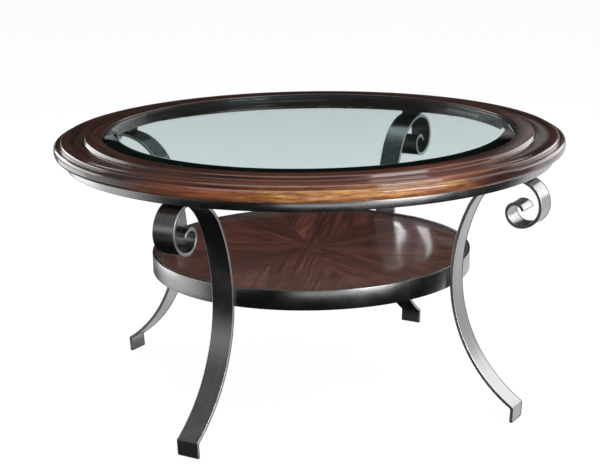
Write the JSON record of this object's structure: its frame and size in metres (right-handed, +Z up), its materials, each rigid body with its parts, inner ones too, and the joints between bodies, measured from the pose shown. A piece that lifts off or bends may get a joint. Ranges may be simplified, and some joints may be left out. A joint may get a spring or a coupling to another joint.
{
  "type": "coffee table",
  "caption": "Round coffee table with a moulded dark wood rim, an inset bevelled glass top, scrolled flat steel legs and a round veneered shelf held in a steel hoop.",
  "frame": {"origin": "floor level under the middle of the table", "axes": "+Z up, the legs on the diagonals between X and Y"},
  "size_m": [1.0159, 1.016, 0.538],
  "materials": {
    "rim_wood": "glossy varnish",
    "veneer_wood": "glossy varnish",
    "panel_wood": "plain",
    "clear_glass": "clear polished",
    "clear_bumper": "clear",
    "pewter_steel": "brushed",
    "black_steel": "satin",
    "zinc_steel": "satin",
    "glide_nylon": "matt"
  },
  "bodies": {
    "frame": {"top_ring": "rim_wood", "glass_bumpers": "clear_bumper", "apron_band": "pewter_steel", "shelf_band": "pewter_steel", "shelf_core": "panel_wood", "shelf_veneer": "veneer_wood", "leg_back_right": "pewter_steel", "foot_glide_back_right": "glide_nylon", "rim_bracket_back_right": "black_steel", "leg_back_left": "pewter_steel", "foot_glide_back_left": "glide_nylon", "rim_bracket_back_left": "black_steel", "leg_front_left": "pewter_steel", "foot_glide_front_left": "glide_nylon", "rim_bracket_front_left": "black_steel", "leg_front_right": "pewter_steel", "foot_glide_front_right": "glide_nylon", "rim_bracket_front_right": "black_steel", "apron_tab_right": "black_steel", "shelf_tab_right": "black_steel", "apron_tab_back": "black_steel", "shelf_tab_back": "black_steel", "apron_tab_left": "black_steel", "shelf_tab_left": "black_steel", "apron_tab_front": "black_steel", "shelf_tab_front": "black_steel", "crest_bolts": "zinc_steel", "crest_nuts": "zinc_steel", "leg_shelf_bolts": "zinc_steel", "rim_bracket_screws": "zinc_steel", "apron_tab_screws": "zinc_steel", "shelf_tab_screws": "zinc_steel"},
    "glass_inset": {"glass_top": "clear_glass"}
  },
  "joints": [
    {"name": "glass_lift", "type": "slide", "parent": "frame", "child": "glass_inset", "axis": [0, 0, 1], "range_m": [0, 0.06]}
  ]
}
